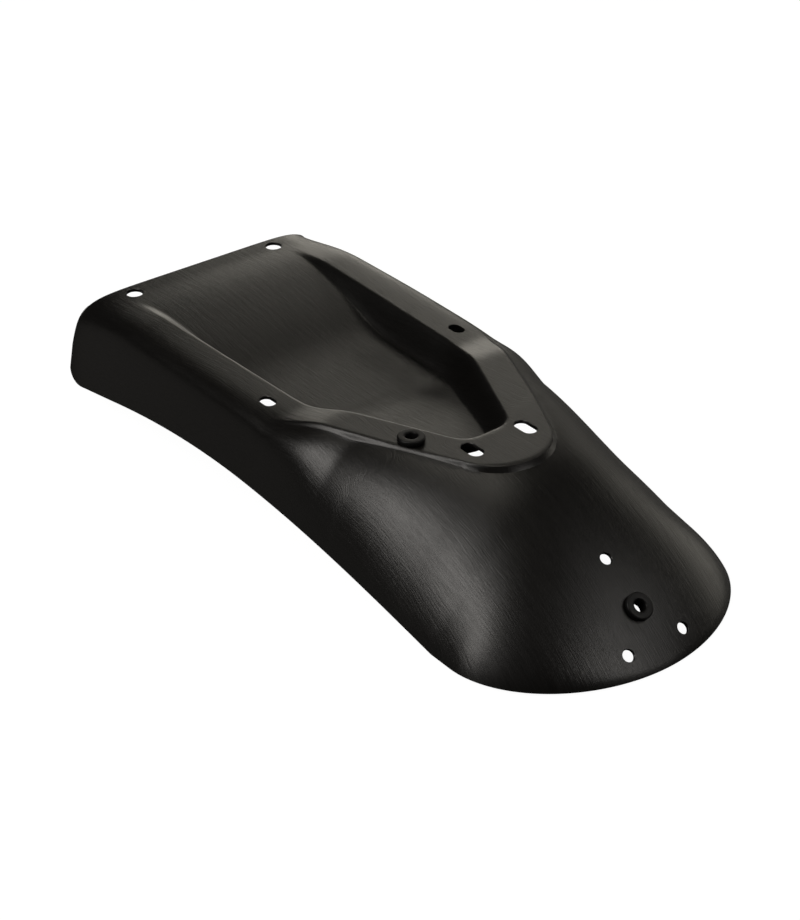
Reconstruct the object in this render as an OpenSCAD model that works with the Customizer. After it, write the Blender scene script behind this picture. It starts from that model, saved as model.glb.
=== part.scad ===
// Rear fender pressed from one sheet, with two rubber grommets.
// X runs from the front edge to the tail, Y to the bike's right, Z up from the resting plane.

/* [Sheet] */
// Thickness of the pressed sheet
wall = 2; // [1.5:0.1:3]
// Length from the front edge to the tail tip
tail_tip_x = 457; // [445:1:475]
// Half width of the skirts' lower edge along the front and middle
skirt_half_w = 98.5; // [94:0.5:104]
// Half width of the skirts' lower edge where the tail starts to round in
tail_half_w = 97.5; // [90:0.5:98]
// Height of the arch cut into each skirt's lower edge
skirt_arch = 23.5; // [10:1:30]
// How far the skirts' lower edge drops from the front corners to the tail's sides
tail_sag = 6; // [0:0.5:12]
// How far the front edge of each skirt swells forward
front_swell = 8; // [0:0.5:10]

/* [Top] */
// Height of the level bar along the front edge
bar_z = 65; // [60:0.5:70]
// Height of the two side rims that carry the middle slots
rim_z = 69; // [64:0.5:72]
// Height of the raised pad around the tail end of the pocket
pad_z = 74; // [70:0.5:78]
// Depth of the step from the pad's edge to the crown
pad_step = 1.4; // [1:0.1:3]
// Radius of the pad's round tail end
pad_end_r = 35; // [30:0.5:40]
// Distance from the front edge to the middle of the pad's round end
pad_end_x = 304.5; // [298:0.5:312]
// Half width of the pad where the ramps begin
pad_start_half_w = 82.5; // [80:0.5:88]

/* [Pocket] */
// Height of the pocket's level floor
floor_z = 50.5; // [42:0.5:56]
// How far the pocket's floor rises towards its tail end
floor_rise = 8; // [0:0.5:12]
// Distance from the front edge to the top of the sloping floor
slope_start_x = 54; // [40:1:60]
// Distance from the front edge to the crease between the two floors
crease_x = 134; // [120:1:160]
// Half width of the pocket at its front corners
pocket_front_half_w = 62; // [54:0.5:66]
// Half width of the pocket beside the ramps
pocket_mid_half_w = 56.5; // [50:0.5:60]
// Distance from the front edge to the bend where the pocket starts to narrow
pocket_bend_x = 209; // [200:1:216]
// Half width of the pocket at its tail end
pocket_end_half_w = 16; // [10:0.5:20]
// Distance from the front edge to the pocket's tail end
pocket_end_x = 298; // [288:0.5:302]
// Sideways lean of the pocket wall for each millimetre of depth
wall_draft = 0.3; // [0.2:0.05:0.7]

/* [Holes] */
// Diameter of the front bolt holes
front_hole_d = 11; // [8:0.5:13]
// Distance between the two front holes
front_hole_gap = 112; // [100:1:120]
// Distance from the front edge to the front holes
front_hole_x = 10; // [8:0.5:16]
// Width of the middle slots
mid_slot_w = 8; // [6:0.5:10]
// Length of the middle slots
mid_slot_l = 12; // [10:0.5:16]
// Distance between the two middle slots
mid_slot_gap = 147; // [140:1:152]
// Distance from the front edge to the middle slots
mid_slot_x = 184; // [175:1:190]
// Width of the rear slots
rear_slot_w = 9; // [7:0.5:11]
// Length of the rear slots
rear_slot_l = 16; // [12:0.5:20]
// Distance between the two rear slots
rear_slot_gap = 40.6; // [38:0.5:44]
// Distance from the front edge to the rear slots
rear_slot_x = 310; // [306:0.5:314]
// Diameter of the three tail light holes
light_hole_d = 7.3; // [5:0.1:9]
// Distance from the front edge to the tail light's upper hole
light_apex_x = 402.5; // [396:0.5:408]
// Distance from the upper hole to the middle of the lower pair, along the crown
light_drop = 53; // [46:0.5:56]
// Distance between the lower pair of tail light holes
light_pair_gap = 41.6; // [36:0.2:48]

/* [Grommets] */
// Outer diameter of a grommet
grommet_d = 16.6; // [15:0.2:18]
// Bore of a grommet
grommet_bore = 7.4; // [5:0.1:8]
// Diameter of the sheet hole that a grommet sits in
grommet_seat_d = 11.4; // [10:0.1:12.5]
// Thickness of a grommet's upper lip
grommet_lip = 3.6; // [2:0.1:5]
// Thickness of a grommet's lower lip
grommet_foot = 2.6; // [2:0.1:4]
// Gap between a grommet's groove and the sheet
grommet_gap = 0.3; // [0.2:0.05:0.6]
// Distance from the front edge to the pad's grommet
pad_grommet_x = 281; // [272:0.5:286]
// Sideways place of the pad's grommet, on the bike's left
pad_grommet_y = 41.5; // [38:0.5:43]
// Distance from the upper light hole to the tail grommet, along the crown
tail_grommet_drop = 32.5; // [28:0.5:38]

/* [Hidden] */
function smin(a, b, k) = let (h = max(k - abs(a - b), 0) / k) min(a, b) - h * h * k / 4;
function smax(a, b, k) = -smin(-a, -b, k);
function ease(x, a, b) = let (u = min(1, max(0, (x - a) / (b - a)))) u * u * (3 - 2 * u);
function mix(a, b, u) = a + (b - a) * u;

// Crown of the tail: an arc that falls from the pad's end to the tail tip
crown_r = 405;
crown_foot_x = pad_end_x + pad_end_r;
crown_foot_z = pad_z - pad_step;
tip_z = -3;
tail_drop = crown_foot_z - tip_z;
tail_run = tail_tip_x - crown_foot_x;
crown_back = sqrt(crown_r * crown_r - (tail_drop * tail_drop + tail_run * tail_run) / 4);
chord_slope = atan(tail_drop / tail_run);
crown_cx = crown_foot_x + tail_run / 2 - crown_back * sin(chord_slope);
crown_cz = tip_z + tail_drop / 2 - crown_back * cos(chord_slope);
function crown_z(x) = crown_cz + sqrt(crown_r * crown_r - pow(x - crown_cx, 2));
function crown_slope(x) = asin((x - crown_cx) / crown_r);
function crown_at(x, run) = let (a = crown_slope(x) + run / crown_r * 180 / PI)
    [crown_cx + crown_r * sin(a), 0, crown_cz + crown_r * cos(a)];

// Level surfaces of the top, and the ramps that lift the rims to the pad
ramp_start_x = 201;
ramp_end_x = 231;
ramp_blend = 0.25;
bar_end_x = 10;
rim_start_x = 62;
rim_fall = 0.8;
function ramp(x) = let (u = (x - ramp_start_x) / (ramp_end_x - ramp_start_x))
    smax(0, smin(1, u, ramp_blend), ramp_blend);
function rim_level(x) = mix(bar_z, rim_z, ease(x, bar_end_x, rim_start_x))
    - rim_fall * ease(x, rim_start_x, ramp_start_x);
function top_z(x) = mix(rim_level(x), pad_z, ramp(x));

// Pocket: a sloping floor, a rear floor and walls that lean outwards
slope_fall = (rim_z - floor_z) / (crease_x - slope_start_x);
slope_blend = 12;
crease_blend = 4;
function slope_z(x) = rim_z - slope_fall * (x - slope_start_x);
function rear_floor(x) = floor_z + floor_rise * ease(x, pocket_bend_x - 20, pocket_end_x);
function pocket_floor(x) = smin(
    top_z(min(x, crease_x)), smax(slope_z(x), rear_floor(x), crease_blend), slope_blend);
pocket_turn = [pocket_end_x - pocket_bend_x, pocket_mid_half_w - pocket_end_half_w];
pocket_turn_l = norm(pocket_turn);
side_slope = (pocket_front_half_w - pocket_mid_half_w) / (pocket_bend_x - slope_start_x);
bend_blend = 8;
function side_line(x) = pocket_mid_half_w + side_slope * (pocket_bend_x - x);
function vee_line(x) = pocket_end_half_w + (pocket_end_x - x) * pocket_turn[1] / pocket_turn[0];
function pocket_half(x) = smin(side_line(x), vee_line(x), bend_blend);
function pocket_inset(x, y) = smin(
    smin(side_line(x) - y, (vee_line(x) - y) * pocket_turn[0] / pocket_turn_l, bend_blend),
    pocket_end_x + 1 - x, 10);
rim_roll = 1.5;
floor_roll = 4;
function pocket_depth(x, y) = let (d = max(0, top_z(x) - pocket_floor(x)))
    d * ease(pocket_inset(x, y), -rim_roll, d * wall_draft + floor_roll);

// Outline of the pad: slightly bowed sides that meet the round tail end
pad_turn = 21;
pad_corner = [pad_end_x + pad_end_r * sin(pad_turn), pad_end_r * cos(pad_turn)];
pad_bow = 2.5;
function pad_half(x) = let (u = min(1, max(0, (x - ramp_start_x) / (pad_corner[0] - ramp_start_x))))
    mix(pad_start_half_w, pad_corner[1], u) + pad_bow * 4 * u * (1 - u);

// Body section: a boxy arch in front that becomes a round crown at the tail
box_front = 7;
box_mid = 14;
box_pad = 3.2;
box_tail = 2.2;
function boxiness(x) = mix(
    mix(box_front, box_mid, ease(x, -12, 45)),
    mix(box_pad, box_tail, ease(x, 250, crown_foot_x)),
    ease(x, 170, 250));
tail_side_x = 385;
tail_round = 1.95;
shoulder_in = 6;
pinch = 1.5;
narrowing = 17.5;
function outline_share(x) = x < tail_side_x ? 1 :
    pow(max(1e-6, 1 - pow((x - tail_side_x) / (tail_tip_x - tail_side_x), tail_round)), 1 / tail_round);
function top_half(x) = outline_share(x)
    * (skirt_half_w - shoulder_in - pinch * ease(x, 110, ramp_start_x) - narrowing * ease(x, 205, 352));
function low_half(x) = outline_share(x) * mix(skirt_half_w, tail_half_w, ease(x, ramp_start_x, tail_side_x));
arch_end_x = tail_side_x - 17;
arch_lean = 0.93;
corner_r = 12;
corner_z = 4;
function arch(x) = x < arch_end_x ? skirt_arch * sin(180 * pow(x / arch_end_x, arch_lean)) : 0;
function corner(x) = x < corner_r ? corner_r - sqrt(corner_r * corner_r - pow(corner_r - x, 2)) : 0;
function low_edge(x) = x < tail_side_x
    ? corner_z - tail_sag * x / tail_side_x + arch(x) + corner(x)
    : mix(corner_z - tail_sag, tip_z - 0.5, pow((x - tail_side_x) / (tail_tip_x - tail_side_x), 2));
crown_over = 4;
crown_blend = 16;
function body_z(x) = mix(
    rim_level(x),
    smin(crown_z(x), pad_z + crown_over, crown_blend),
    ease(x, ramp_start_x - 2, ramp_end_x + 22));
function lame(c, n) = pow(max(c, 0), 2 / n);
function section_y(x, a) = let (n = boxiness(x))
    top_half(x) * lame(sin(a), n) + (low_half(x) - top_half(x)) * (1 - lame(cos(a), n));
function section_z(x, a) = low_edge(x) + (body_z(x) - low_edge(x)) * lame(cos(a), boxiness(x));
function angle_at(x, y, lo = 0, hi = 90, step = 0) = step > 15 ? (lo + hi) / 2 :
    let (m = (lo + hi) / 2)
    section_y(x, m) < y ? angle_at(x, y, m, hi, step + 1) : angle_at(x, y, lo, m, step + 1);
function body_at(x, y) = y >= low_half(x) ? low_edge(x) : section_z(x, angle_at(x, y));
swell_fade = 45;
swell_power = 1.6;
function swell(x, z) = let (share = (body_z(x) - z) / (body_z(x) - low_edge(x)))
    front_swell * (1 - ease(x, 0, swell_fade)) * pow(sin(90 * share), swell_power);

// Rows across the sheet: where each one crosses the centre line, the pad's edge and the skirt
bend_start_x = 236;
skirt_end_x = 302;
straight_x = [0, 3.5, 7.5, 14, 22, 32, 42, 51, 60, 69, 79, 90, 102, 115, 126, 132, 138, 146, 158, 170, 182,
    193, 201, 205, 212, 220, 227, 231, bend_start_x];
straight_rows = [for (x = straight_x) [x, x, x]];
bow = crown_foot_x - pad_corner[0];
bent_x = [243, 250, 257, 264, 271, 277, 282, 286, 289, 292, 295, 299, 306, 316, 328, crown_foot_x];
bent_rows = [for (x = bent_x) let (u = (x - bend_start_x) / (crown_foot_x - bend_start_x))
    [x, x - bow * pow(u, 1.5), mix(bend_start_x, skirt_end_x, u)]];
rows = concat(straight_rows, bent_rows);
function row_x(r, y) = let (
    d = r[0] - r[1],
    e = pad_half(r[1]),
    bow_r = (d * d + e * e) / (2 * max(d, 1e-3)))
    d < 1e-3 || y > e ? r[1] : r[0] - bow_r + sqrt(bow_r * bow_r - y * y);

// Columns of a half row: floor, wall, rim and step, then shoulder and skirt
floor_cols = 5;
wall_cols = 5;
rim_cols = 4;
skirt_cols = 9;
skirt_turn_cols = 5;
shoulder_w = 9;
inner_cols = floor_cols + wall_cols + rim_cols + 2;
col_last = inner_cols + skirt_cols - 1;
function edge_y(x) = min(pad_half(x), top_half(x) - shoulder_w);
function inner_y(r) = let (
    guess = row_x(r, pocket_half(min(r[0], pocket_end_x - 4))),
    w = pocket_half(min(guess, pocket_end_x - 4)),
    d = max(3, (top_z(guess) - pocket_floor(guess)) * wall_draft + floor_roll),
    e = edge_y(r[1]))
    concat([for (k = [0:floor_cols]) (w - d - 1) * k / floor_cols],
        [for (k = [1:wall_cols]) w - d - 1 + (d + 2 + rim_roll) * k / wall_cols],
        [for (k = [1:rim_cols]) mix(w + 1 + rim_roll, e, k / rim_cols)],
        [e + pad_step]);
function top_point(r, y, on_top) = let (x = row_x(r, y), t = mix(body_at(x, y), top_z(x), on_top ? ramp(x) : 0))
    [x, y, t - pocket_depth(x, y)];
function skirt_point(r, k) = let (
    x = mix(r[1], r[2], ease(k, 0, skirt_turn_cols)),
    a0 = angle_at(x, edge_y(r[1]) + pad_step),
    a = a0 + (90 - a0) * pow(k / skirt_cols, 0.85),
    z = section_z(x, a))
    [x - swell(x, z), section_y(x, a), z];
function front_half(r) = let (c = inner_y(r))
    concat([for (k = [0:inner_cols - 1]) top_point(r, c[k], k < inner_cols - 1)],
        [for (k = [1:skirt_cols]) skirt_point(r, k)]);

// Tail: each column runs straight in plan from the last row to the round outline
tail_count = 15;
step_share = 0.018;
last_half = front_half(rows[len(rows) - 1]);
function outline_x(y) = tail_side_x + (tail_tip_x - tail_side_x)
    * pow(max(0, 1 - pow(y / tail_half_w, tail_round)), 1 / tail_round);
function tail_half(i) = let (s = i == 0 ? step_share : 1 - pow(1 - i / tail_count, 1.25))
    [for (k = [0:col_last]) let (
        p = last_half[k],
        end_y = tail_half_w * sin(90 * k / col_last),
        x = mix(p[0], outline_x(end_y), s),
        y = k == col_last ? low_half(x) : min(mix(p[1], end_y, s), low_half(x)))
        [x, y, i == tail_count ? low_edge(x) : body_at(x, y)]];
function whole_row(h) = concat([for (k = [col_last:-1:1]) [h[k][0], -h[k][1], h[k][2]]], h);

outer = concat(
    [for (r = rows) whole_row(front_half(r))],
    [for (i = [0:tail_count]) whole_row(tail_half(i))]);
row_n = len(outer);
col_n = len(outer[0]);
function normal(i, j) = let (
    a = outer[min(i + 1, row_n - 1)][j] - outer[max(i - 1, 0)][j],
    b = outer[i][min(j + 1, col_n - 1)] - outer[i][max(j - 1, 0)],
    n = cross(a, b)) n / norm(n);
inner = [for (i = [0:row_n - 1]) [for (j = [0:col_n - 1]) outer[i][j] - wall * normal(i, j)]];

module sheet() {
    n = row_n * col_n;
    function at(i, j) = i * col_n + j;
    skin = [for (i = [0:row_n - 2], j = [0:col_n - 2], t = [0, 1]) t == 0
        ? [at(i, j), at(i, j + 1), at(i + 1, j)] : [at(i, j + 1), at(i + 1, j + 1), at(i + 1, j)]];
    lining = [for (f = skin) [f[2] + n, f[1] + n, f[0] + n]];
    sides = [for (i = [0:row_n - 2], e = [0, 1]) let (j = e * (col_n - 1), a = at(i, j), b = at(i + 1, j))
        each e == 0 ? [[a, b, a + n], [b, b + n, a + n]] : [[a, a + n, b], [b, a + n, b + n]]];
    ends = [for (j = [0:col_n - 2], e = [0, 1]) let (i = e * (row_n - 1), a = at(i, j), b = at(i, j + 1))
        each e == 0 ? [[a, a + n, b], [b, a + n, b + n]] : [[a, b, a + n], [b, b + n, a + n]]];
    polyhedron(points = concat([for (r = outer) each r], [for (r = inner) each r]),
        faces = concat(skin, lining, sides, ends), convexity = 12);
}

// The origin is midway along, on the resting plane
mid_x = (tail_tip_x - front_swell) / 2;
rest_lift = -min([for (r = inner) for (p = r) p[2]]);
module seat() {
    translate([-mid_x, 0, rest_lift]) children();
}

cut_l = 24;
module slot_cut(x, y, z, l, w) {
    translate([x, y, z - cut_l / 2]) linear_extrude(cut_l) {
        square([l - w, w], center = true);
        for (s = [-1, 1]) translate([s * (l - w) / 2, 0]) circle(d = w, $fn = 48);
    }
}

// Holes of the crown are drilled square to the sheet
light_pair_x = crown_at(light_apex_x, light_drop)[0];
tail_grommet_x = crown_at(light_apex_x, tail_grommet_drop)[0];
probe = 0.5;
function body_normal(x, y) = let (
    n = [body_at(x - probe, y) - body_at(x + probe, y), body_at(x, y - probe) - body_at(x, y + probe), 2 * probe])
    n / norm(n);
module on_crown(x, y) {
    n = body_normal(x, abs(y));
    translate([x, y, body_at(x, abs(y))]) rotate([0, acos(n[2]), atan2(sign(y) * n[1], n[0])]) children();
}

module crown_cut(x, y, d) {
    on_crown(x, y) cylinder(h = cut_l, d = d, center = true, $fn = 48);
}

module fender_shell() {
    color([0.11, 0.105, 0.10]) seat() difference() {
        sheet();
        for (s = [-1, 1]) {
            translate([front_hole_x, s * front_hole_gap / 2, bar_z])
                cylinder(h = cut_l, d = front_hole_d, center = true, $fn = 48);
            slot_cut(mid_slot_x, s * mid_slot_gap / 2, rim_z, mid_slot_l, mid_slot_w);
            slot_cut(rear_slot_x, s * rear_slot_gap / 2, pad_z, rear_slot_l, rear_slot_w);
            crown_cut(light_pair_x, s * light_pair_gap / 2, light_hole_d);
        }
        crown_cut(light_apex_x, 0, light_hole_d);
        crown_cut(tail_grommet_x, 0, grommet_seat_d);
        translate([pad_grommet_x, -pad_grommet_y, pad_z])
            cylinder(h = cut_l, d = grommet_seat_d, center = true, $fn = 48);
    }
}

module grommet() {
    neck_r = grommet_seat_d / 2 - grommet_gap;
    lip_r = grommet_d / 2;
    edge = 1;
    rotate_extrude($fn = 64) polygon([
        [grommet_bore / 2, -wall - grommet_gap - grommet_foot],
        [lip_r - edge, -wall - grommet_gap - grommet_foot],
        [lip_r, -wall - grommet_gap - grommet_foot + edge],
        [lip_r, -wall - grommet_gap],
        [neck_r, -wall - grommet_gap],
        [neck_r, grommet_gap],
        [lip_r, grommet_gap],
        [lip_r, grommet_lip - edge],
        [lip_r - edge, grommet_lip],
        [grommet_bore / 2, grommet_lip]]);
}

module pad_grommet() {
    color([0.05, 0.05, 0.05]) seat() translate([pad_grommet_x, -pad_grommet_y, pad_z]) grommet();
}

module tail_grommet() {
    color([0.05, 0.05, 0.05]) seat() on_crown(tail_grommet_x, 0) grommet();
}

fender_shell();
pad_grommet();
tail_grommet();
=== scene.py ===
import math
from types import SimpleNamespace

import bpy
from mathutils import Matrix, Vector


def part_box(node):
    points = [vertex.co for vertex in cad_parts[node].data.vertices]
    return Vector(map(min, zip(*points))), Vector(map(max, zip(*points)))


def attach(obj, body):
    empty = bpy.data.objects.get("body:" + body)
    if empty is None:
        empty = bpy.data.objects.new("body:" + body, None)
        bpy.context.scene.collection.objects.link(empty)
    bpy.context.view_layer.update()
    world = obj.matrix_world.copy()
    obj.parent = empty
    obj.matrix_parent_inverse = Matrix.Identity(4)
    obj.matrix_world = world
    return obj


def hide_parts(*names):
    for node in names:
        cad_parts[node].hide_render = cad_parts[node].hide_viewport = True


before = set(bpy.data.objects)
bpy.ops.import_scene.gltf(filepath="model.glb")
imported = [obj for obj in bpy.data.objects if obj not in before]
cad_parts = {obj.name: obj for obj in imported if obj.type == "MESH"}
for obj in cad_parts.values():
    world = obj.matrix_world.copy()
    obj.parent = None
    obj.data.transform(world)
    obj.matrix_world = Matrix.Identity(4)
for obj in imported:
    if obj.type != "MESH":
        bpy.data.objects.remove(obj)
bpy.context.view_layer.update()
mm = 0.001
print("frame loaded")


# the pressed sheet, in millimetres from the front edge, as it lies before it is set on the floor
fender = {
    "wall": 2,
    "tailTipX": 457,
    "skirtHalfW": 98.5,
    "tailHalfW": 97.5,
    "skirtArch": 23.5,
    "tailSag": 6,
    "frontSwell": 8,
    "barZ": 65,
    "rimZ": 69,
    "padZ": 74,
    "padStep": 1.4,
    "padRoll": 0.8,
    "padEndR": 35,
    "padEndX": 304.5,
    "padStartHalfW": 82.5,
    "padBow": 2.5,
    "padTurn": 21,
    "floorZ": 50.5,
    "floorRise": 8,
    "slopeStartX": 54,
    "creaseX": 134,
    "pocketFrontHalfW": 62,
    "pocketMidHalfW": 56.5,
    "pocketBendX": 209,
    "pocketEndHalfW": 16,
    "pocketEndX": 298,
    "wallDraft": 0.3,
    "rimRoll": 2.8,
    "floorRoll": 4,
    "rampStartX": 201,
    "rampEndX": 231,
    "crownR": 405,
    "tipZ": -3,
    "tailSideX": 385,
    "tailRound": 1.95,
    "cornerR": 12,
    "cornerZ": 4,
    "bendStartX": 236,
    "skirtEndX": 302,
    "shoulderW": 9,
    "edgeRound": 0.45,
    "edgeAngle": 60,
    "edgeSegments": 3,
}
# how the forms run into one another, in the same millimetres; halvings find an angle on a section
blends = {
    "halvings": 18,
    "rampSoft": 0.25,
    "rimRiseStartX": 10,
    "rimRiseEndX": 62,
    "rimFall": 0.8,
    "floorRiseLead": 20,
    "creaseSoft": 4,
    "slopeSoft": 12,
    "veeSoft": 8,
    "endSoft": 10,
    "boxFront": 7,
    "boxMid": 14,
    "boxFrontStartX": -12,
    "boxFrontEndX": 45,
    "boxPad": 3.2,
    "boxTail": 2.2,
    "boxPadX": 250,
    "boxTurnStartX": 167,
    "boxTurnEndX": 259,
    "shoulderIn": 6,
    "pinch": 1.5,
    "pinchStartX": 110,
    "narrowing": 17.5,
    "narrowStartX": 205,
    "narrowEndX": 352,
    "tipLip": 0.5,
    "archBack": 17,
    "archLean": 0.93,
    "crownOver": 4,
    "crownSoft": 16,
    "crownLead": 2,
    "crownLag": 22,
    "swellFade": 45,
    "swellPower": 1.6,
}
f = SimpleNamespace(**fender, **blends)
shellLow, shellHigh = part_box("fender_shell")
restLift = shellHigh.z / mm - f.padZ
midX = f.tailTipX - shellHigh.x / mm


def softMin(a, b, k):
    h = max(k - abs(a - b), 0) / k
    return min(a, b) - h * h * k / 4


def softMax(a, b, k):
    return -softMin(-a, -b, k)


def ease(x, a, b):
    u = min(1, max(0, (x - a) / (b - a)))
    return u * u * (3 - 2 * u)


def mix(a, b, u):
    return a + (b - a) * u


crownFootX = f.padEndX + f.padEndR
crownFootZ = f.padZ - f.padStep
tailDrop = crownFootZ - f.tipZ
tailRun = f.tailTipX - crownFootX
crownBack = math.sqrt(f.crownR ** 2 - (tailDrop ** 2 + tailRun ** 2) / 4)
chordSlope = math.atan(tailDrop / tailRun)
crownCx = crownFootX + tailRun / 2 - crownBack * math.sin(chordSlope)
crownCz = f.tipZ + tailDrop / 2 - crownBack * math.cos(chordSlope)


def crownZ(x):
    return crownCz + math.sqrt(f.crownR ** 2 - (x - crownCx) ** 2)


def crownX(x, run):
    return crownCx + f.crownR * math.sin(math.asin((x - crownCx) / f.crownR) + run / f.crownR)


def ramp(x):
    return softMax(0, softMin(1, (x - f.rampStartX) / (f.rampEndX - f.rampStartX), f.rampSoft), f.rampSoft)


def rimLevel(x):
    rise = ease(x, f.rimRiseStartX, f.rimRiseEndX)
    return mix(f.barZ, f.rimZ, rise) - f.rimFall * ease(x, f.rimRiseEndX, f.rampStartX)


def topZ(x):
    return mix(rimLevel(x), f.padZ, ramp(x))


slopeFall = (f.rimZ - f.floorZ) / (f.creaseX - f.slopeStartX)
turnX, turnY = f.pocketEndX - f.pocketBendX, f.pocketMidHalfW - f.pocketEndHalfW
sideSlope = (f.pocketFrontHalfW - f.pocketMidHalfW) / (f.pocketBendX - f.slopeStartX)


def pocketFloor(x):
    rear = f.floorZ + f.floorRise * ease(x, f.pocketBendX - f.floorRiseLead, f.pocketEndX)
    slope = f.rimZ - slopeFall * (x - f.slopeStartX)
    return softMin(topZ(min(x, f.creaseX)), softMax(slope, rear, f.creaseSoft), f.slopeSoft)


def sideLine(x):
    return f.pocketMidHalfW + sideSlope * (f.pocketBendX - x)


def veeLine(x):
    return f.pocketEndHalfW + (f.pocketEndX - x) * turnY / turnX


def pocketHalf(x):
    return softMin(sideLine(x), veeLine(x), f.veeSoft)


def pocketDepth(x, y):
    vee = (veeLine(x) - y) * turnX / math.hypot(turnX, turnY)
    side = softMin(sideLine(x) - y, vee, f.veeSoft)
    inset = softMin(side, f.pocketEndX + 1 - x, f.endSoft)
    deep = max(0, topZ(x) - pocketFloor(x))
    return deep * ease(inset, -f.rimRoll, deep * f.wallDraft + f.floorRoll)


padCornerX = f.padEndX + f.padEndR * math.sin(math.radians(f.padTurn))
padCornerY = f.padEndR * math.cos(math.radians(f.padTurn))


def padHalf(x):
    u = min(1, max(0, (x - f.rampStartX) / (padCornerX - f.rampStartX)))
    return mix(f.padStartHalfW, padCornerY, u) + f.padBow * 4 * u * (1 - u)


def padShare(x, y):
    if x > f.padEndX + y * math.tan(math.radians(f.padTurn)):
        outset = math.hypot(x - f.padEndX, y) - f.padEndR
    else:
        outset = (y - padHalf(x)) * math.cos(math.radians(f.padTurn))
    return ramp(x) * (1 - ease(outset, -f.padRoll, f.padStep + f.padRoll))


def boxiness(x):
    front = mix(f.boxFront, f.boxMid, ease(x, f.boxFrontStartX, f.boxFrontEndX))
    rear = mix(f.boxPad, f.boxTail, ease(x, f.boxPadX, crownFootX))
    return mix(front, rear, ease(x, f.boxTurnStartX, f.boxTurnEndX))


def outlineShare(x):
    if x < f.tailSideX:
        return 1
    u = (x - f.tailSideX) / (f.tailTipX - f.tailSideX)
    return max(1e-6, 1 - u ** f.tailRound) ** (1 / f.tailRound)


def topHalf(x):
    pinch = f.pinch * ease(x, f.pinchStartX, f.rampStartX)
    narrowing = f.narrowing * ease(x, f.narrowStartX, f.narrowEndX)
    return outlineShare(x) * (f.skirtHalfW - f.shoulderIn - pinch - narrowing)


def lowHalf(x):
    return outlineShare(x) * mix(f.skirtHalfW, f.tailHalfW, ease(x, f.rampStartX, f.tailSideX))


def lowEdge(x):
    if x >= f.tailSideX:
        u = (x - f.tailSideX) / (f.tailTipX - f.tailSideX)
        return mix(f.cornerZ - f.tailSag, f.tipZ - f.tipLip, u * u)
    archEndX = f.tailSideX - f.archBack
    arch = f.skirtArch * math.sin(math.pi * (x / archEndX) ** f.archLean) if x < archEndX else 0
    corner = f.cornerR - math.sqrt(f.cornerR ** 2 - (f.cornerR - x) ** 2) if x < f.cornerR else 0
    return f.cornerZ - f.tailSag * x / f.tailSideX + arch + corner


def bodyZ(x):
    crown = softMin(crownZ(x), f.padZ + f.crownOver, f.crownSoft)
    return mix(rimLevel(x), crown, ease(x, f.rampStartX - f.crownLead, f.rampEndX + f.crownLag))


def sectionY(x, a):
    n = boxiness(x)
    wide = max(math.sin(a), 0) ** (2 / n)
    high = max(math.cos(a), 0) ** (2 / n)
    return topHalf(x) * wide + (lowHalf(x) - topHalf(x)) * (1 - high)


def sectionZ(x, a):
    low = lowEdge(x)
    return low + (bodyZ(x) - low) * max(math.cos(a), 0) ** (2 / boxiness(x))


def angleAt(x, y):
    lo, hi = 0, math.pi / 2
    for step in range(f.halvings):
        middle = (lo + hi) / 2
        if sectionY(x, middle) < y:
            lo = middle
        else:
            hi = middle
    return (lo + hi) / 2


def bodyAt(x, y):
    return lowEdge(x) if y >= lowHalf(x) else sectionZ(x, angleAt(x, y))


def surfacePoint(x, y):
    body = bodyAt(x, y)
    return x, y, mix(body, topZ(x), padShare(x, y)) - pocketDepth(x, y)


def swell(x, z):
    share = (bodyZ(x) - z) / (bodyZ(x) - lowEdge(x))
    bulge = max(0, math.sin(math.pi / 2 * share)) ** f.swellPower
    return f.frontSwell * (1 - ease(x, 0, f.swellFade)) * bulge


# how finely the sheet is divided and how the divisions spread: rows run across it, columns along it
grid = {
    "cornerRows": 10,
    "frontRows": 94,
    "bentRows": 48,
    "tailRows": 50,
    "floorCols": 12,
    "wallCols": 13,
    "rimCols": 11,
    "stepCols": 6,
    "skirtCols": 34,
    "leastWallW": 3,
    "innerSpare": 1.5,
    "outerSpare": 1,
    "endSpare": 4,
    "turnShare": 0.5,
    "skirtSpread": 0.85,
    "bowPower": 1.5,
    "tailEaseIn": 1.3,
    "tailEaseOut": 1.25,
}
g = SimpleNamespace(**grid)


def rowPlan():
    corner = [f.cornerR * (1 - math.cos(math.pi / 2 * i / g.cornerRows)) for i in range(g.cornerRows)]
    front = [mix(f.cornerR, f.bendStartX, i / g.frontRows) for i in range(g.frontRows + 1)]
    plan = [(x, x, x) for x in corner + front]
    for i in range(1, g.bentRows + 1):
        u = i / g.bentRows
        centre = mix(f.bendStartX, crownFootX, u)
        bow = (crownFootX - padCornerX) * u ** g.bowPower
        plan.append((centre, centre - bow, mix(f.bendStartX, f.skirtEndX, u)))
    return plan


def rowX(row, y):
    d, edge = row[0] - row[1], padHalf(row[1])
    if d < 1e-3 or y > edge:
        return row[1]
    bowR = (d * d + edge * edge) / (2 * d)
    return row[0] - bowR + math.sqrt(bowR * bowR - y * y)


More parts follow.
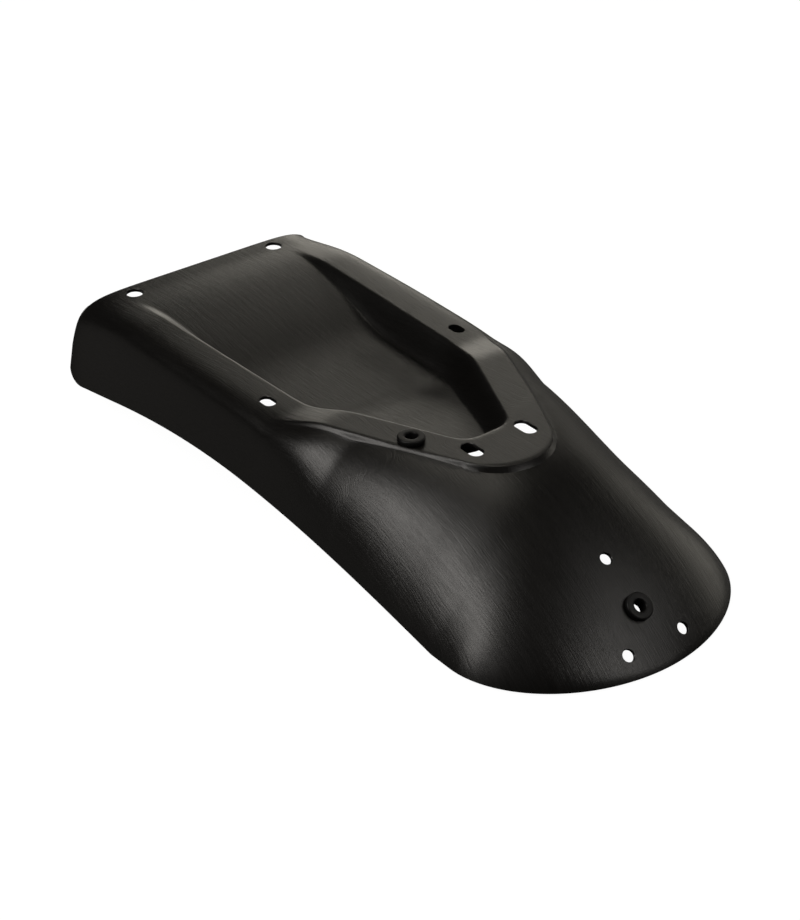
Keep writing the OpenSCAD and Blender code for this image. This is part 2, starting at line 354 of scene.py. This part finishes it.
def halfRow(row):
    guess = rowX(row, pocketHalf(min(row[0], f.pocketEndX - g.endSpare)))
    w = pocketHalf(min(guess, f.pocketEndX - g.endSpare))
    d = max(g.leastWallW, (topZ(guess) - pocketFloor(guess)) * f.wallDraft + f.floorRoll)
    edge = min(padHalf(row[1]), topHalf(row[1]) - f.shoulderW)
    inner, outer = w - d - g.innerSpare, w + g.outerSpare + f.rimRoll
    ys = [inner * k / g.floorCols for k in range(g.floorCols + 1)]
    ys += [mix(inner, outer, k / g.wallCols) for k in range(1, g.wallCols + 1)]
    ys += [mix(outer, edge - f.padRoll, k / g.rimCols) for k in range(1, g.rimCols + 1)]
    reach = f.padStep + 2 * f.padRoll
    ys += [edge - f.padRoll + reach * k / g.stepCols for k in range(1, g.stepCols + 1)]
    points = [surfacePoint(rowX(row, y), y) for y in ys]
    turnCols = round(g.skirtCols * g.turnShare)
    for k in range(1, g.skirtCols + 1):
        x = mix(row[1], row[2], ease(k, 0, turnCols))
        start = angleAt(x, ys[-1])
        a = mix(start, math.pi / 2, (k / g.skirtCols) ** g.skirtSpread)
        z = sectionZ(x, a)
        points.append((x - swell(x, z), sectionY(x, a), z))
    return points


def tailHalf(last, s):
    points = []
    top = len(last) - 1
    for k, p in enumerate(last):
        endY = f.tailHalfW * math.sin(math.pi / 2 * k / top)
        share = max(0, 1 - (endY / f.tailHalfW) ** f.tailRound) ** (1 / f.tailRound)
        endX = f.tailSideX + (f.tailTipX - f.tailSideX) * share
        x = mix(p[0], endX, s)
        y = lowHalf(x) if k == top else min(mix(p[1], endY, s), lowHalf(x))
        points.append((x, y, lowEdge(x)) if s == 1 else surfacePoint(x, y))
    return points


def sheetPoints():
    rows = [halfRow(row) for row in rowPlan()]
    last = rows[-1]
    for i in range(1, g.tailRows + 1):
        t = i / g.tailRows
        rows.append(tailHalf(last, 1 - (1 - t ** g.tailEaseIn) ** g.tailEaseOut))
    return [[(x, -y, z) for x, y, z in row[:0:-1]] + row for row in rows]


def only(obj):
    bpy.ops.object.select_all(action="DESELECT")
    obj.select_set(True)
    bpy.context.view_layer.objects.active = obj


def applyAll(obj):
    only(obj)
    for modifier in list(obj.modifiers):
        bpy.ops.object.modifier_apply(modifier=modifier.name)


def seat(x, y, z):
    return Vector(((x - midX) * mm, y * mm, (z + restLift) * mm))


def pressSheet():
    rows = sheetPoints()
    rowCount, colCount = len(rows), len(rows[0])
    bpy.ops.object.select_all(action="DESELECT")
    bpy.ops.mesh.primitive_grid_add(x_subdivisions=rowCount - 1, y_subdivisions=colCount - 1, size=1)
    sheet = bpy.context.object
    sheet.name = "shell"
    # distance round each row from the centre line, which the brushing follows
    across = []
    for row in rows:
        middle = colCount // 2
        run = [0.0] * colCount
        for j in range(middle + 1, colCount):
            run[j] = run[j - 1] + math.hypot(row[j][1] - row[j - 1][1], row[j][2] - row[j - 1][2])
        for j in range(middle - 1, -1, -1):
            run[j] = run[j + 1] - math.hypot(row[j][1] - row[j + 1][1], row[j][2] - row[j + 1][2])
        across.append(run)
    places = []
    for v in sheet.data.vertices:
        i = round((v.co.x + 0.5) * (rowCount - 1))
        j = round((v.co.y + 0.5) * (colCount - 1))
        places.append((i, j))
    for v, (i, j) in zip(sheet.data.vertices, places):
        v.co = seat(*rows[i][j])
    uv = sheet.data.uv_layers.active.data
    for loop in sheet.data.loops:
        i, j = places[loop.vertex_index]
        uv[loop.index].uv = (rows[i][j][0] * mm, across[i][j] * mm)
    sheet.data.uv_layers.active.name = "brushing"
    thick = sheet.modifiers.new("thickness", "SOLIDIFY")
    thick.thickness = f.wall * mm
    thick.offset = -1
    rounded = sheet.modifiers.new("edge", "BEVEL")
    rounded.limit_method = "ANGLE"
    rounded.angle_limit = math.radians(f.edgeAngle)
    rounded.width = f.edgeRound * mm
    rounded.segments = f.edgeSegments
    applyAll(sheet)
    # the flared front edge stays inside the drawn part's box
    for v in sheet.data.vertices:
        v.co.x = max(v.co.x, shellLow.x)
    return sheet


# holes, in millimetres from the front edge, as diameters, slot lengths and places
holes = {
    "frontD": 11, "frontGap": 112, "frontX": 10,
    "midW": 8, "midL": 12, "midGap": 147, "midX": 184,
    "rearW": 9, "rearL": 16, "rearGap": 40.6, "rearX": 310,
    "lightD": 7.3, "lightX": 402.5, "lightDrop": 53, "lightGap": 41.6,
    "seatD": 11.4, "padSeatX": 281, "padSeatY": 41.5, "tailSeatDrop": 32.5,
    "chamfer": 0.35, "reach": 8, "sides": 64, "mergeWithin": 0.012, "smoothAngle": 32,
    "sortFrom": (1.13, 0.37, 0.11),
}
h = SimpleNamespace(**holes)


def squareTo(x, y):
    step = 0.5
    n = Vector((
        bodyAt(x - step, abs(y)) - bodyAt(x + step, abs(y)),
        math.copysign(1, y) * (bodyAt(x, abs(abs(y) - step)) - bodyAt(x, abs(y) + step)) if y else 0,
        2 * step,
    ))
    return (x, y, bodyAt(x, abs(y))), n.normalized()


def makePunch(place, normal, wide, long):
    bpy.ops.object.select_all(action="DESELECT")
    bpy.ops.mesh.primitive_circle_add(vertices=h.sides, radius=wide / 2 * mm, fill_type="NGON")
    punch = bpy.context.object
    stretch = (long - wide) / 2 * mm
    for v in punch.data.vertices:
        v.co.x += math.copysign(stretch, v.co.x) if abs(v.co.x) > 1e-7 else 0
        v.co.z -= h.reach * mm
    bpy.ops.object.mode_set(mode="EDIT")
    bpy.ops.mesh.select_all(action="SELECT")
    flare = ((long + 4 * h.chamfer) / long, (wide + 4 * h.chamfer) / wide, 1)
    for rise, scale in ((h.reach - h.chamfer, (1, 1, 1)), (2 * h.chamfer, flare), (h.reach, (1, 1, 1))):
        bpy.ops.mesh.extrude_region_move(TRANSFORM_OT_translate={"value": (0, 0, rise * mm)})
        bpy.ops.transform.resize(value=scale)
    bpy.ops.mesh.select_all(action="SELECT")
    bpy.ops.mesh.normals_make_consistent(inside=False)
    bpy.ops.object.mode_set(mode="OBJECT")
    punch.rotation_mode = "QUATERNION"
    punch.rotation_quaternion = normal.to_track_quat("Z", "Y")
    punch.location = seat(*place)
    bpy.ops.object.transform_apply(location=True, rotation=True, scale=True)
    return punch


def punchHoles(sheet):
    up = Vector((0, 0, 1))
    punches = []
    for s in (-1, 1):
        punches.append(makePunch((h.frontX, s * h.frontGap / 2, f.barZ), up, h.frontD, h.frontD))
        punches.append(makePunch((h.midX, s * h.midGap / 2, topZ(h.midX)), up, h.midW, h.midL))
        punches.append(makePunch((h.rearX, s * h.rearGap / 2, f.padZ), up, h.rearW, h.rearL))
        place, normal = squareTo(crownX(h.lightX, h.lightDrop), s * h.lightGap / 2)
        punches.append(makePunch(place, normal, h.lightD, h.lightD))
    place, normal = squareTo(h.lightX, 0)
    punches.append(makePunch(place, normal, h.lightD, h.lightD))
    place, normal = squareTo(crownX(h.lightX, h.tailSeatDrop), 0)
    punches.append(makePunch(place, normal, h.seatD, h.seatD))
    punches.append(makePunch((h.padSeatX, -h.padSeatY, f.padZ), up, h.seatD, h.seatD))
    only(punches[0])
    for punch in punches:
        punch.select_set(True)
    bpy.ops.object.join()
    tool = bpy.context.object
    cut = sheet.modifiers.new("holes", "BOOLEAN")
    cut.operation = "DIFFERENCE"
    cut.solver = "EXACT"
    cut.object = tool
    applyAll(sheet)
    bpy.data.objects.remove(tool)
    only(sheet)
    bpy.ops.object.mode_set(mode="EDIT")
    bpy.ops.mesh.select_all(action="SELECT")
    # the cut leaves its points in any order, so they are sorted before the merge to come out alike each run
    bpy.context.scene.cursor.location = h.sortFrom
    bpy.ops.mesh.sort_elements(type="CURSOR_DISTANCE", elements={"VERT", "EDGE", "FACE"})
    bpy.context.scene.cursor.location = (0, 0, 0)
    bpy.ops.mesh.remove_doubles(threshold=h.mergeWithin * mm)
    bpy.ops.mesh.dissolve_degenerate(threshold=h.mergeWithin * mm)
    bpy.ops.mesh.delete_loose()
    bpy.ops.object.mode_set(mode="OBJECT")
    bpy.ops.object.shade_smooth_by_angle(angle=math.radians(h.smoothAngle))


# a moulded rubber grommet, in millimetres; its groove holds the sheet
grommet = {
    "outerD": 16.6,
    "bore": 7.4,
    "seatD": 11.4,
    "lip": 3.6,
    "foot": 2.6,
    "gap": 0.3,
    "softness": 0.95,
    "softAngle": 40,
    "softSteps": 5,
    "sides": 96,
}
r = SimpleNamespace(**grommet)


def makeGrommet(name, place, normal):
    low = -f.wall - r.gap
    neck = r.seatD / 2 - r.gap
    rim = r.outerD / 2
    profile = [
        (r.bore / 2, low - r.foot), (rim, low - r.foot), (rim, low), (neck, low),
        (neck, r.gap), (rim, r.gap), (rim, r.lip), (r.bore / 2, r.lip), (r.bore / 2, low - r.foot),
    ]
    bpy.ops.object.select_all(action="DESELECT")
    bpy.ops.mesh.primitive_circle_add(vertices=r.sides, radius=profile[0][0] * mm)
    piece = bpy.context.object
    piece.name = name
    for v in piece.data.vertices:
        v.co.z = profile[0][1] * mm
    bpy.ops.object.mode_set(mode="EDIT")
    bpy.ops.mesh.select_all(action="SELECT")
    for (oldR, oldZ), (newR, newZ) in zip(profile, profile[1:]):
        bpy.ops.mesh.extrude_edges_move(TRANSFORM_OT_translate={"value": (0, 0, (newZ - oldZ) * mm)})
        bpy.ops.transform.resize(value=(newR / oldR, newR / oldR, 1))
    bpy.ops.mesh.select_all(action="SELECT")
    bpy.ops.mesh.remove_doubles(threshold=1e-6)
    bpy.ops.mesh.normals_make_consistent(inside=False)
    bpy.ops.object.mode_set(mode="OBJECT")
    piece.rotation_mode = "QUATERNION"
    piece.rotation_quaternion = normal.to_track_quat("Z", "Y")
    piece.location = seat(*place)
    bpy.ops.object.transform_apply(location=True, rotation=True, scale=True)
    soft = piece.modifiers.new("soft edges", "BEVEL")
    soft.limit_method = "ANGLE"
    soft.angle_limit = math.radians(r.softAngle)
    soft.width = r.softness * mm
    soft.segments = r.softSteps
    applyAll(piece)
    bpy.ops.object.shade_smooth_by_angle(angle=math.radians(r.softAngle))
    return piece


shell = pressSheet()
print("sheet pressed", len(shell.data.polygons))
punchHoles(shell)
print("holes punched", len(shell.data.polygons))
padGrommet = makeGrommet("pad_ring", (h.padSeatX, -h.padSeatY, f.padZ), Vector((0, 0, 1)))
tailGrommet = makeGrommet("tail_ring", *squareTo(crownX(h.lightX, h.tailSeatDrop), 0))
print("grommets moulded")


class Wire:
    def __init__(self, shader, socket):
        self.shader = shader
        self.socket = socket

    def combine(self, operation, other, swapped=False):
        pair = [other, self] if swapped else [self, other]
        return self.shader.node("ShaderNodeMath", {"operation": operation}, pair)

    def __add__(self, other):
        return self.combine("ADD", other)

    def __radd__(self, other):
        return self.combine("ADD", other)

    def __mul__(self, other):
        return self.combine("MULTIPLY", other)

    def __rmul__(self, other):
        return self.combine("MULTIPLY", other)

    def __sub__(self, other):
        return self.combine("SUBTRACT", other)

    def __rsub__(self, other):
        return self.combine("SUBTRACT", other, True)


class Shader:
    def __init__(self, tree):
        self.tree = tree
        tree.nodes.clear()

    def node(self, kind, settings=None, inputs=None, output=0):
        made = self.tree.nodes.new(kind)
        for name, value in (settings or {}).items():
            setattr(made, name, value)
        pairs = inputs.items() if isinstance(inputs, dict) else enumerate(inputs or [])
        for key, value in pairs:
            if isinstance(value, Wire):
                self.tree.links.new(value.socket, made.inputs[key])
            else:
                made.inputs[key].default_value = value
        return Wire(self, made.outputs[output]) if made.outputs else None

    def blend(self, share, low, high):
        return self.node("ShaderNodeMix", {"data_type": "RGBA"}, {0: share, 6: low, 7: high}, 2)


def newMaterial(name):
    material = bpy.data.materials.new(name)
    material.use_nodes = True
    return material, Shader(material.node_tree)


# satin black paint over a brushed sheet; lengths in metres
paint = {
    "colour": (0.0024, 0.0021, 0.0018, 1),
    "worn": (0.0062, 0.0055, 0.0048, 1),
    "roughness": 0.34,
    "roughnessSwing": 0.09,
    "streakWidth": 0.0008,
    "streakLength": 0.009,
    "streakDepth": 0.00013,
    "specular": 0.5,
    "cloudScale": 14.0,
    "grainScale": 2200.0,
    "broadScale": 0.28,
}


def paintShell():
    material, s = newMaterial("satin_black_brushed")
    uv = s.node("ShaderNodeTexCoord", output=2)
    along, across = 1 / paint["streakLength"], 1 / paint["streakWidth"]

    def streaks(scale, seed, detail):
        stretched = s.node("ShaderNodeMapping", {}, {
            "Vector": uv, "Location": (seed, seed * 3.7, 0),
            "Scale": (along * scale, across * scale, 1)})
        return s.node("ShaderNodeTexNoise", {"noise_dimensions": "2D"}, {
            "Vector": stretched, "Scale": 1.0, "Detail": detail, "Roughness": 0.6})

    fine = streaks(1.0, 1.3, 3)
    broad = streaks(paint["broadScale"], 5.1, 3)
    place = s.node("ShaderNodeTexCoord", output=3)
    cloud = s.node("ShaderNodeTexNoise", {}, {
        "Vector": place, "Scale": paint["cloudScale"], "Detail": 5, "Roughness": 0.6})
    grain = s.node("ShaderNodeTexNoise", {}, {
        "Vector": place, "Scale": paint["grainScale"], "Detail": 2, "Roughness": 0.5})
    tone = fine * 0.5 + broad * 0.3 + cloud * 0.2
    colour = s.blend(tone, paint["colour"], paint["worn"])
    swing = paint["roughnessSwing"]
    roughness = paint["roughness"] + swing * (fine - 0.5) + swing * (broad - 0.5)
    roughness = roughness + swing * (cloud - 0.5)
    height = fine * 0.7 + broad * 0.6 + grain * 0.15
    bump = s.node("ShaderNodeBump", {}, {
        "Strength": 1.0, "Distance": paint["streakDepth"], "Height": height})
    surface = s.node("ShaderNodeBsdfPrincipled", {}, {
        "Base Color": colour, "Roughness": roughness,
        "Specular IOR Level": paint["specular"], "Normal": bump})
    s.node("ShaderNodeOutputMaterial", {}, {"Surface": surface})
    return material


# matt moulded rubber
rubber = {
    "colour": (0.0028, 0.0028, 0.0029, 1),
    "dusty": (0.007, 0.0068, 0.0066, 1),
    "roughness": 0.42,
    "grainScale": 2600.0,
    "grainDepth": 0.00003,
    "cloudScale": 160.0,
    "specular": 0.25,
}


def paintRubber():
    material, s = newMaterial("moulded_rubber")
    place = s.node("ShaderNodeTexCoord", output=3)
    cloud = s.node("ShaderNodeTexNoise", {}, {
        "Vector": place, "Scale": rubber["cloudScale"], "Detail": 4, "Roughness": 0.6})
    grain = s.node("ShaderNodeTexNoise", {}, {
        "Vector": place, "Scale": rubber["grainScale"], "Detail": 3, "Roughness": 0.6})
    colour = s.blend(cloud * 0.7 + grain * 0.3, rubber["colour"], rubber["dusty"])
    roughness = rubber["roughness"] + 0.2 * (cloud - 0.5)
    bump = s.node("ShaderNodeBump", {}, {
        "Strength": 0.6, "Distance": rubber["grainDepth"], "Height": grain})
    surface = s.node("ShaderNodeBsdfPrincipled", {}, {
        "Base Color": colour, "Roughness": roughness,
        "Specular IOR Level": rubber["specular"], "Normal": bump})
    s.node("ShaderNodeOutputMaterial", {}, {"Surface": surface})
    return material


shellPaint = paintShell()
rubberSkin = paintRubber()
for piece, material, slot, node in (
    (shell, shellPaint, "shell", "fender_shell"),
    (padGrommet, rubberSkin, "rubber", "pad_grommet"),
    (tailGrommet, rubberSkin, "rubber", "tail_grommet"),
):
    piece.data.materials.clear()
    piece.data.materials.append(material)
    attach(piece, "root")
    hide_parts(node)
print("materials set")


# the pale floor and the studio's lamps: turn and rise in degrees, the rest in metres
studio = {
    "floorSize": 14.0,
    "floorColour": (0.82, 0.82, 0.82, 1),
    "floorBounce": (0.22, 0.22, 0.22, 1),
    "whiteShare": 0.86,
    "white": 1.13,
    "worldShade": (0.02, 0.02, 0.02, 1),
}
warm = (1, 0.95, 0.84)
lamps = {
    "back_wall_left": {"turn": 142, "rise": 9, "size": (0.82, 0.6), "glow": 2.3, "tint": warm},
    "back_wall_middle": {"turn": 118, "rise": 10, "size": (1.2, 0.8), "glow": 0.4, "tint": warm},
    "back_wall_right": {"turn": 88, "rise": 10, "size": (1.2, 0.9), "glow": 1.2, "tint": warm},
    "back_wall_high": {"turn": 133, "rise": 33, "size": (1.1, 0.4), "glow": 1.5, "tint": warm},
    "top_box": {"turn": 150, "rise": 74, "away": 1.8, "size": (0.7, 0.6), "glow": 2.1, "tint": warm},
    "left_box_top": {"turn": -88, "rise": 67, "away": 1.7, "size": (0.42, 0.5), "glow": 2.2},
    "left_box_middle": {"turn": -98, "rise": 48, "away": 1.7, "size": (0.5, 0.54), "glow": 7.2},
    "left_box_low": {"turn": -100, "rise": 31, "away": 1.7, "size": (0.5, 0.5), "glow": 5.0},
    "right_box": {"turn": 20, "rise": 40, "away": 1.7, "glow": 5.6},
    "right_box_far": {"turn": 46, "rise": 43, "away": 1.7, "glow": 2.0},
}


def layFloor():
    bpy.ops.object.select_all(action="DESELECT")
    bpy.ops.mesh.primitive_plane_add(size=studio["floorSize"])
    floor = bpy.context.object
    floor.name = "floor"
    material, s = newMaterial("pale_floor")
    camera = s.node("ShaderNodeLightPath", output=0)
    # the paint sees a duller floor than the camera does, which keeps the near skirt dark
    colour = s.blend(camera, studio["floorBounce"], studio["floorColour"])
    matt = s.node("ShaderNodeBsdfDiffuse", {}, {"Color": colour})
    white = s.node("ShaderNodeEmission", {}, {"Color": (1, 1, 1, 1), "Strength": studio["white"]})
    share = camera * studio["whiteShare"]
    surface = s.node("ShaderNodeMixShader", {}, {0: share, 1: matt, 2: white})
    s.node("ShaderNodeOutputMaterial", {}, {"Surface": surface})
    floor.data.materials.append(material)


def setWorld():
    world = bpy.data.worlds.new("studio")
    bpy.context.scene.world = world
    world.use_nodes = True
    s = Shader(world.node_tree)
    camera = s.node("ShaderNodeLightPath", output=0)
    colour = s.blend(camera, studio["worldShade"], (1, 1, 1, 1))
    background = s.node("ShaderNodeBackground", {}, {"Color": colour, "Strength": 1.0})
    s.node("ShaderNodeOutputWorld", {}, {"Surface": background})


def hangLamp(name, turn, rise, glow, away=2.4, size=(0.42, 0.36), tint=(1, 0.965, 0.92)):
    a, e = math.radians(turn), math.radians(rise)
    toward = Vector((math.cos(a) * math.cos(e), math.sin(a) * math.cos(e), math.sin(e)))
    bpy.ops.object.light_add(type="AREA")
    lamp = bpy.context.object
    lamp.name = name
    lamp.data.shape = "RECTANGLE"
    lamp.data.size, lamp.data.size_y = size
    lamp.data.color = tint
    lamp.data.energy = glow * math.pi * size[0] * size[1]
    lamp.location = toward * away + Vector((0, 0, 0.04))
    lamp.rotation_mode = "QUATERNION"
    lamp.rotation_quaternion = toward.to_track_quat("Z", "Y")


layFloor()
setWorld()
for name, lamp in lamps.items():
    hangLamp(name, **lamp)

# the photograph's viewpoint: place in millimetres, angles in degrees
view = {
    "place": (898.7, -721.5, 731.1),
    "down": 31.572,
    "turn": 51.423,
    "sensor": 36,
    "focalPx": 2200,
    "framePx": 920,
}
bpy.ops.object.camera_add(location=[c * mm for c in view["place"]])
camera = bpy.context.object
camera.rotation_euler = (math.radians(90 - view["down"]), 0, math.radians(view["turn"]))
camera.data.lens = view["sensor"] * view["focalPx"] / view["framePx"]
bpy.context.scene.camera = camera
bpy.context.scene.view_settings.view_transform = "Standard"
print("studio set")
